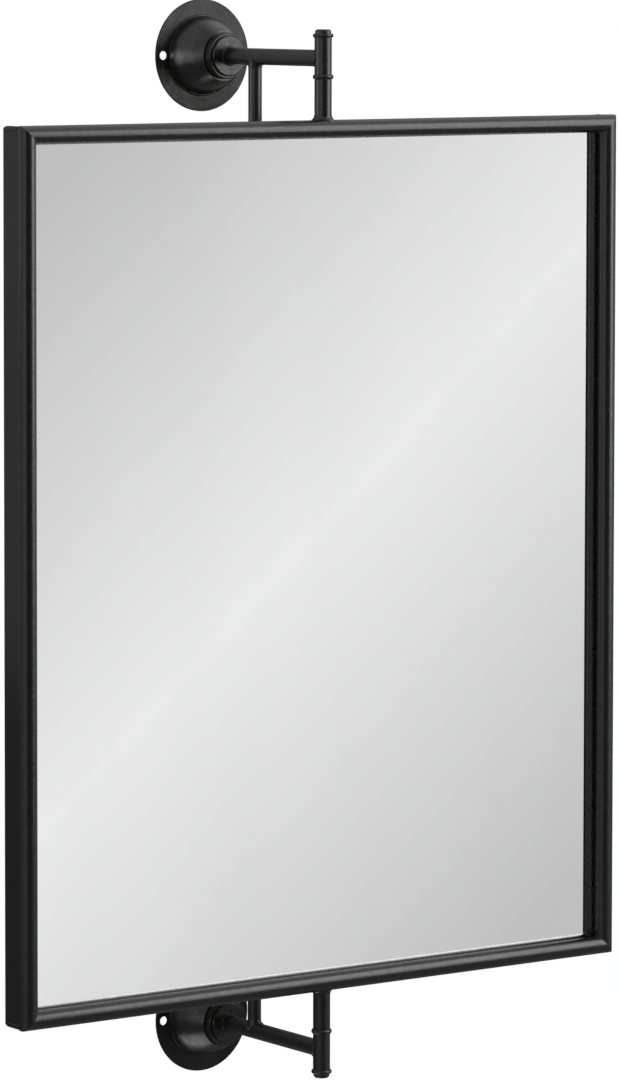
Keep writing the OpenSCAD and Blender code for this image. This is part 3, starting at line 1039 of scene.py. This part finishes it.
@dataclass
class WallArms:
    """Both arms with their wall plates, hubs, screws and the upright rod, and their welds."""

    palette: Palette
    welds: WeldBeads
    collar_bead: float = 1.7 * MM
    collar_sink: float = 0.1
    hub_bead: float = 1.5 * MM
    hub_rise: float = 0.25
    rod_bead: float = 1.5 * MM
    steps: int = 56

    def build(self) -> None:
        """Dresses the nodes and lays the welds of both arms and the rod."""
        for end in End:
            dress_nodes(self.palette.bracket_paint, end.prefix + "arm")
            dress_nodes(self.palette.turned_paint, end.prefix + "hub")
            dress_nodes(self.palette.spun_paint, end.prefix + "wall_plate")
            dress_nodes(self.palette.zinc, end.prefix + "arm_plug", end.prefix + "arm_screw")
        dress_nodes(self.palette.bracket_paint, "rear_rod")
        self.lay_welds()

    def lay_welds(self) -> None:
        """Lays the beads round the arms, at the barrels and at the hubs, and round the rod."""
        arm_z, arm_r = middle("top_arm").z, extent("top_arm").z / 2
        barrel_y, barrel_r = middle("top_barrel").y, extent("top_barrel").x / 2
        rod_y, rod_r = middle("rear_rod").y, extent("rear_rod").x / 2
        hub_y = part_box("top_hub")[0].y
        sink = self.collar_sink * self.collar_bead

        def on_barrel(x: float, z: float, side: int) -> Place:
            """Where an arm meets its barrel."""
            return x, barrel_y + math.sqrt(max(barrel_r**2 - x * x, 0.0)) - sink, side * arm_z + z

        def on_hub(x: float, z: float, side: int) -> Place:
            """Where an arm meets its hub."""
            return x, hub_y, side * arm_z + z

        def on_arm(x: float, y: float, side: int) -> Place:
            """Where the rod meets an arm."""
            return x, rod_y + y, side * (arm_z - math.sqrt(arm_r**2 - x * x))

        hub_ring = arm_r + self.hub_rise * self.hub_bead
        kinds = (
            ("barrel_welds", self.collar_bead, 0.04, arm_r - sink, on_barrel),
            ("hub_welds", self.hub_bead, 0.30, hub_ring, on_hub),
            ("rod_welds", self.rod_bead, 0.20, rod_r, on_arm),
        )
        for place, (name, bead, ripple, radius, at) in enumerate(kinds):
            seams = [self.ring(radius, at, end.value) for end in End]
            paint = self.palette.weld_paint
            self.welds.lay(name, Body.BRACKET, seams, bead, paint, ripple, seed=1.0 + place)

    def ring(self, radius: float, at: Callable[[float, float, int], Place], side: int) -> Seam:
        """A closed seam round a circle.

        Args:
            radius: The circle's radius.
            at: Takes each of its points to its place.
            side: 1 at the upper arm, -1 at the lower one.

        Returns:
            The seam.
        """
        turns = (2 * math.pi * i / self.steps for i in range(self.steps))
        points = (at(radius * math.cos(turn), radius * math.sin(turn), side) for turn in turns)
        return Seam([Vector(point) for point in points], True)


# ---- studio ----


@dataclass(frozen=True)
class Camera:
    """The photograph's camera, found by fitting its perspective to the solids."""

    place: Place = (-2.7444, -3.9730, 0.5172)
    yaw: float = 35.783
    pitch: float = 3.845
    roll: float = 0.084
    lens_mm: float = 180.20
    film_mm: float = 36.0
    shift_y: float = -0.2

    def build(self) -> None:
        """Adds the camera and makes it the scene's own."""
        yaw, roll = math.radians(self.yaw), math.radians(self.roll)
        forward = -studio_direction(-self.yaw, self.pitch)
        right = Vector((math.cos(yaw), -math.sin(yaw), 0.0))
        up = right.cross(forward)
        turned_right = math.cos(roll) * right + math.sin(roll) * up
        turned_up = math.cos(roll) * up - math.sin(roll) * right
        data = bpy.data.cameras.new("camera")
        data.sensor_fit = "AUTO"
        data.sensor_width = self.film_mm
        data.lens = self.lens_mm
        data.shift_y = self.shift_y
        data.clip_end = 100.0
        made = new_object("camera", data)
        axes = Matrix((turned_right, turned_up, -forward)).transposed()
        made.matrix_world = Matrix.Translation(self.place) @ axes.to_4x4()
        bpy.context.scene.camera = made


def studio_direction(azimuth: float, elevation: float) -> Vector:
    """The unit vector at so many degrees from -Y, away from the wall, toward +X, and so many up."""
    turn, rise = math.radians(azimuth), math.radians(elevation)
    return Vector((math.sin(turn) * math.cos(rise), -math.cos(turn) * math.cos(rise), math.sin(rise)))


@dataclass(frozen=True)
class SoftBox:
    """A rectangular studio lamp that looks at the mirror, and that the flat glass doesn't show."""

    name: str
    azimuth: float
    elevation: float
    distance: float
    width: float
    height: float
    watts: float
    spread: float = 180.0
    target: Place = (0.0, -0.19, 0.0)
    left_out: tuple[str, ...] = ("mirror_glass",)

    def build(self) -> None:
        """Adds the lamp."""
        away = studio_direction(self.azimuth, self.elevation)
        data = bpy.data.lights.new(self.name, "AREA")
        data.shape = "RECTANGLE"
        data.size = self.width
        data.size_y = self.height
        data.energy = self.watts
        data.spread = math.radians(self.spread)
        made = new_object(self.name, data)
        made.visible_camera = False
        made.light_linking.receiver_collection = self.receivers()
        made.location = Vector(self.target) + self.distance * away
        made.rotation_euler = away.to_track_quat("Z", "Y").to_euler()

    def receivers(self) -> bpy.types.Collection:
        """Says what the lamp lights.

        Returns:
            A collection that leaves out some nodes, and so lights all the others.
        """
        made = bpy.data.collections.new(f"{self.name}_receivers")
        for name in self.left_out:
            made.objects.link(bpy.data.objects[name])
        for entry in made.collection_objects:
            entry.light_linking.link_state = "EXCLUDE"
        return made


@dataclass(frozen=True)
class Backdrop:
    """The white studio round the mirror.

    Paint and metal pick up pale walls, a dim ceiling, a dark floor, dark cards and pale washes.
    The flat glass picks up a pale diagonal sweep. A card or a wash has its azimuth and elevation,
    the angles from its middle at which it starts and is full, and the share of light that it
    leaves or the light that it adds.
    """

    ambient: float = 0.85
    sweep_axis: Place = (0.5574, 0.4903, -0.6700)
    sweep_width: float = 0.080
    sweep_levels: Range = (0.912, 0.575)
    horizon: Range = (-0.145, -0.095)
    horizon_tilt: tuple[Range, Range] = ((-0.1, 1.0), (0.007, -0.07))
    room_levels: Range = (0.25, 0.72)
    ceiling: Range = (0.45, 0.75)
    ceiling_level: float = 0.62
    cards: tuple[Patch, ...] = (
        ((-12, 2), (40, 29), 0.04),
        ((138, -8), (50, 28), 0.12),
        ((172, 36), (36, 12), 0.5),
        ((-144, 3), (24, 9), 0.5),
        ((178, -2), (34, 20), 0.35),
    )
    washes: tuple[Patch, ...] = (
        ((-62, 12), (26, 8), 0.55),
        ((55, 48), (34, 10), 0.45),
        ((128, 45), (35, 15), 0.38),
        ((-165, -28), (34, 10), 0.25),
        ((-144, -24), (20, 8), 0.15),
    )

    def build(self) -> None:
        """Sets the world: white to the camera, patterned to gloss, and plain as light."""
        world = bpy.data.worlds.new("studio")
        bpy.context.scene.world = world
        world.use_nodes = True
        world.node_tree.nodes.clear()
        shader = Shader(world.node_tree)
        direction = shader.node("ShaderNodeTexCoord").outputs["Generated"]
        level = self.room(shader, direction)
        level = shader.choose(shader.rays["Is Glossy Ray"], self.ambient, level)
        level = shader.choose(shader.flat_glass(), level, self.sweep(shader, direction))
        level = shader.choose(shader.seen(), level, 1.0)
        light = shader.out("ShaderNodeBackground", {"Color": WHITE, "Strength": level})
        shader.node("ShaderNodeOutputWorld", {"Surface": light})

    def sweep(self, shader: Shader, direction: Socket) -> Socket:
        """The pale diagonal band that the flat glass shows, by direction."""
        off = shader.vector_math("DOT_PRODUCT", direction, self.sweep_axis).outputs["Value"]
        return shader.spread(shader.math("ABSOLUTE", off), (0.0, self.sweep_width), self.sweep_levels)

    def room(self, shader: Shader, direction: Socket) -> Socket:
        """What paint and metal reflect.

        Args:
            shader: The world's tree.
            direction: The direction that is looked along.

        Returns:
            The level of light.
        """
        parts = shader.node("ShaderNodeSeparateXYZ", {0: direction}).outputs
        tilted = shader.math("ADD", parts["Z"], shader.spread(parts["Y"], *self.horizon_tilt))
        walls = shader.spread(tilted, self.horizon, self.room_levels, smooth=True)
        above = shader.spread(parts["Z"], self.ceiling, (0.0, 1.0), smooth=True)
        level = shader.choose(above, walls, self.ceiling_level)
        for aim, edge, left in self.cards:
            card = self.patch(shader, direction, aim, edge)
            level = shader.math("MULTIPLY", level, shader.math("MULTIPLY_ADD", card, left - 1.0, 1.0))
        for aim, edge, more in self.washes:
            wash = self.patch(shader, direction, aim, edge)
            level = shader.math("MULTIPLY_ADD", wash, more, level)
        return level

    def patch(self, shader: Shader, direction: Socket, aim: Range, edge: Range) -> Socket:
        """1 inside a round patch of the room and 0 outside, from its aim and the angles of its edge."""
        toward = shader.vector_math("DOT_PRODUCT", direction, studio_direction(*aim)).outputs["Value"]
        return shader.spread(toward, tuple(math.cos(math.radians(a)) for a in edge), (0.0, 1.0), smooth=True)


@dataclass(frozen=True)
class PaintedShadeCard:
    """Painted shade: a dark, dimly glowing card behind the lower arm, which only gloss shows, in place of
    the shade behind it.
    """

    left: float = -0.9
    right: float = 0.5
    back: float = 0.25
    low: float = -0.95
    high: float = -0.15
    level: float = 0.09

    def build(self) -> None:
        """Adds the card."""
        places = [(x, self.back, z) for z in (self.low, self.high) for x in (self.left, self.right)]
        mesh = bpy.data.meshes.new("flag")
        mesh.from_pydata(places, [], [(0, 1, 3, 2)])
        made = new_object("flag", mesh)
        for ray in ("camera", "diffuse", "transmission", "volume_scatter", "shadow"):
            setattr(made, "visible_" + ray, False)
        coat = Coat("flag")
        # painted shade: the card's dim glow is what the lower arm's gloss shows instead of shaded
        # surroundings
        glow = {"Emission Color": WHITE, "Emission Strength": self.level}
        coat.set({"Base Color": BLACK, "Specular IOR Level": 0.0} | glow)
        mesh.materials.append(coat.material)


@dataclass(frozen=True)
class Floor:
    """A plain pale floor, well below the mirror as in a room."""

    height: float = -1.45
    radius: float = 5.0
    colour: Colour = (0.80, 0.80, 0.80)
    mottle: float = 0.97
    grain_scale: float = 6.0
    gloss: float = 0.9
    reflectance: float = 0.1
    glow: float = 0.33
    dim: float = 0.18

    def build(self) -> None:
        """Adds the floor."""
        shell = bmesh.new()
        bmesh.ops.create_circle(shell, cap_ends=True, radius=self.radius, segments=96)
        mesh = bpy.data.meshes.new("floor")
        shell.to_mesh(mesh)
        shell.free()
        mesh.transform(Matrix.Translation((0, 0, self.height)))
        made = new_object("floor", mesh)
        mesh.materials.append(self.material())

    def material(self) -> Material:
        """Makes the floor's material.

        Returns:
            A pale and matt material, lifted to white for the camera and dim to the gloss of paint.
        """
        coat = Coat("floor")
        grain = coat.grain(self.grain_scale, detail=4.0)
        pale = coat.mix(grain, tuple(self.mottle * c for c in self.colour), self.colour)
        gloss = coat.math("SUBTRACT", coat.rays["Is Glossy Ray"], coat.rays["Is Singular Ray"], clamp=True)
        inputs = {"Factor": gloss, "A": pale, "B": (self.dim, self.dim, self.dim, 1.0)}
        coat.set({
            "Base Color": coat.node("ShaderNodeMix", inputs, data_type="RGBA").outputs["Result"],
            "Roughness": self.gloss,
            "Specular IOR Level": self.reflectance,
            "Emission Color": WHITE,
            "Emission Strength": coat.math("MULTIPLY", coat.seen(), self.glow),
        })
        return coat.material


def main() -> None:
    """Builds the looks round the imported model, in order."""
    logging.basicConfig(level=logging.INFO, format="%(name)s: %(message)s")
    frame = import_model()
    bpy.context.scene.view_settings.view_transform = "Standard"
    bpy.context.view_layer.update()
    LOG.info("packed nodes: %d", len(frame["nodes"]))

    Camera().build()
    palette = Palette(axis_height=middle("top_arm").z)
    welds = WeldBeads()
    MirrorFrame(palette, welds).build()
    GlassAndBack(palette).build()
    for end in End:
        Pivot(palette, end).build()
    WallArms(palette, welds).build()

    Backdrop().build()
    Floor().build()
    near_arm, far_arm = (0.0, -0.01, palette.axis_height), (0.0, -0.02, -palette.axis_height)
    key = SoftBox("key", azimuth=45.5, elevation=19, distance=2.7, width=1.75, height=2.35, watts=50)
    replace(key, left_out=("mirror_glass", "top_rail_band")).build()
    side = SoftBox("side", azimuth=-112, elevation=-4, distance=0.66, width=0.44, height=0.34, watts=0.09)
    replace(side, spread=50, target=near_arm).build()
    under = SoftBox("under", azimuth=-112, elevation=-64, distance=0.5, width=0.36, height=0.36, watts=0.75)
    replace(under, target=far_arm).build()
    PaintedShadeCard().build()


if __name__ == "__main__":
    main()
